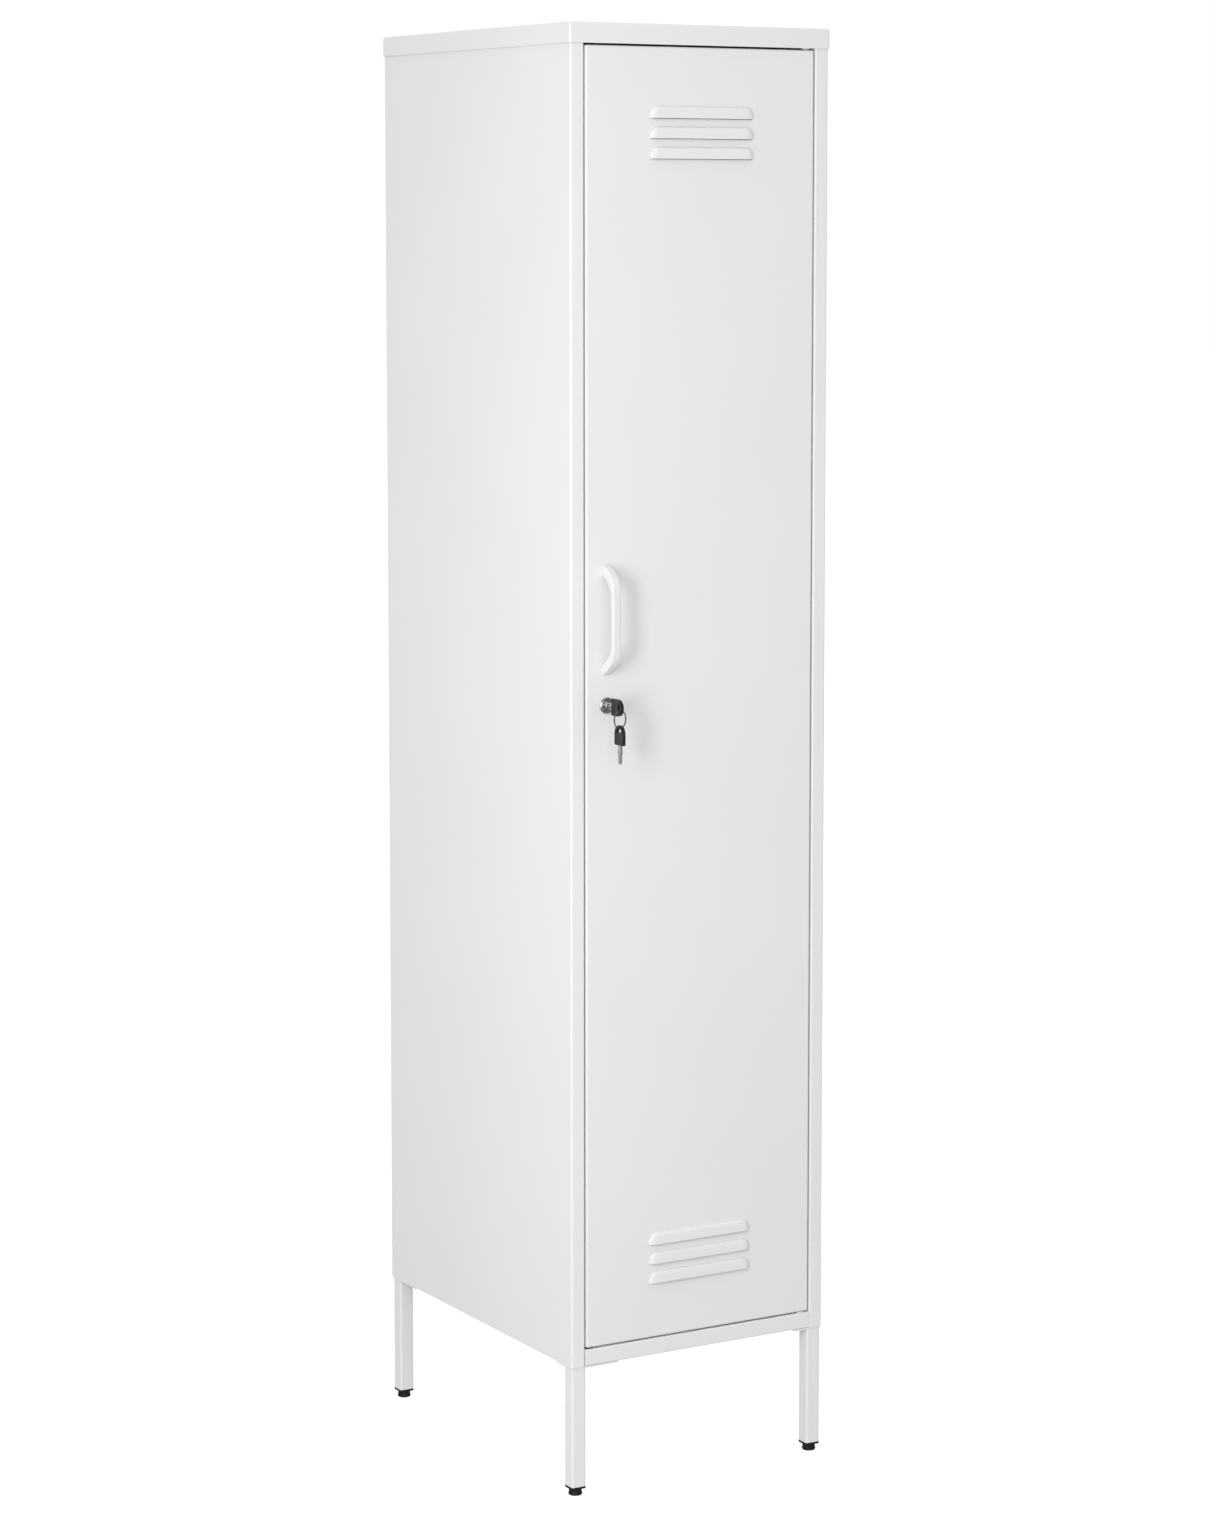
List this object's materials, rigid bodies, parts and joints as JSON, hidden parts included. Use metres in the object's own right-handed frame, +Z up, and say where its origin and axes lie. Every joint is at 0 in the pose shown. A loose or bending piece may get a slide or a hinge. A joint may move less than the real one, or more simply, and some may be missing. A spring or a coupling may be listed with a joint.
{
  "type": "school locker",
  "caption": "Tall steel locker with one louvred door, bow handle, cam lock with key and spare on a ring, hat shelf, hanging rail and square legs on levelling feet.",
  "frame": {"origin": "on the floor, in the middle of the object's plan with the handle and keys counted", "axes": "+X to the right as one faces the door, +Y towards the back, +Z up"},
  "size_m": [0.38, 0.5428, 1.85],
  "materials": {
    "powder_white": "fine-textured satin powder coat, white",
    "handle_white": "smooth satin white",
    "chrome": "polished",
    "steel": "nickel-plated, lightly brushed",
    "zinc": "zinc-plated, dull",
    "black_plastic": "fine moulded grain, black",
    "nylon": "natural white nylon",
    "rubber": "matt black"
  },
  "bodies": {
    "cabinet": {"back_panel": "powder_white", "bottom_tray": "powder_white", "door_bumper_bottom": "rubber", "door_bumper_top": "rubber", "foot_insert_front_left": "black_plastic", "foot_insert_front_right": "black_plastic", "foot_insert_rear_left": "black_plastic", "foot_insert_rear_right": "black_plastic", "hanging_rail": "zinc", "hat_shelf": "powder_white", "hinge_bush_bottom": "nylon", "hinge_bush_top": "nylon", "left_side_panel": "powder_white", "leg_bolt_front_left_inner": "zinc", "leg_bolt_front_left_outer": "zinc", "leg_bolt_front_right_inner": "zinc", "leg_bolt_front_right_outer": "zinc", "leg_bolt_rear_left_inner": "zinc", "leg_bolt_rear_left_outer": "zinc", "leg_bolt_rear_right_inner": "zinc", "leg_bolt_rear_right_outer": "zinc", "leg_front_left": "powder_white", "leg_front_right": "powder_white", "leg_rear_left": "powder_white", "leg_rear_right": "powder_white", "rail_socket_left": "chrome", "rail_socket_right": "chrome", "right_side_panel": "powder_white", "shelf_support_left": "powder_white", "shelf_support_right": "powder_white", "top_cap": "powder_white", "top_rail": "powder_white"},
    "door": {"door_panel": "powder_white", "door_stiffener": "powder_white", "hinge_pin_top": "steel", "hinge_pin_bottom": "steel", "handle": "handle_white", "handle_screw_top": "zinc", "handle_screw_bottom": "zinc", "lock_housing": "chrome", "lock_nut": "zinc"},
    "lock": {"lock_plug": "chrome", "lock_cam": "zinc", "cam_screw": "zinc"},
    "key": {"key_blade": "steel", "key_bow": "black_plastic"},
    "ring": {"key_ring": "steel"},
    "spare_key": {"spare_key_blade": "steel", "spare_key_bow": "black_plastic"},
    "foot_front_left": {"levelling_foot_front_left": "black_plastic"},
    "foot_front_right": {"levelling_foot_front_right": "black_plastic"},
    "foot_rear_right": {"levelling_foot_rear_right": "black_plastic"},
    "foot_rear_left": {"levelling_foot_rear_left": "black_plastic"}
  },
  "joints": [
    {"name": "door_hinge", "type": "hinge", "parent": "cabinet", "child": "door", "pos_m": [0.1575, -0.2211, 1.007], "axis": [0, 0, 1], "range_deg": [0, 110]},
    {"name": "lock_turn", "type": "hinge", "parent": "door", "child": "lock", "pos_m": [-0.138, -0.2271, 1.008], "axis": [0, 1, 0], "range_deg": [0, 90]},
    {"name": "key_withdraw", "type": "slide", "parent": "lock", "child": "key", "axis": [0, -1, 0], "range_m": [0, 0.03]},
    {"name": "ring_swing", "type": "hinge", "parent": "key", "child": "ring", "pos_m": [-0.138, -0.2609, 1.005], "axis": [-0.9304, -0.3665, 0], "range_deg": [-10, 45]},
    {"name": "spare_key_swing", "type": "hinge", "parent": "ring", "child": "spare_key", "pos_m": [-0.138, -0.2609, 0.9826], "axis": [-0.9304, -0.3665, 0], "range_deg": [-10, 45]},
    {"name": "foot_front_left_screw", "type": "slide", "parent": "cabinet", "child": "foot_front_left", "axis": [0, 0, -1], "range_m": [0, 0.008]},
    {"name": "foot_front_right_screw", "type": "slide", "parent": "cabinet", "child": "foot_front_right", "axis": [0, 0, -1], "range_m": [0, 0.008]},
    {"name": "foot_rear_right_screw", "type": "slide", "parent": "cabinet", "child": "foot_rear_right", "axis": [0, 0, -1], "range_m": [0, 0.008]},
    {"name": "foot_rear_left_screw", "type": "slide", "parent": "cabinet", "child": "foot_rear_left", "axis": [0, 0, -1], "range_m": [0, 0.008]}
  ]
}
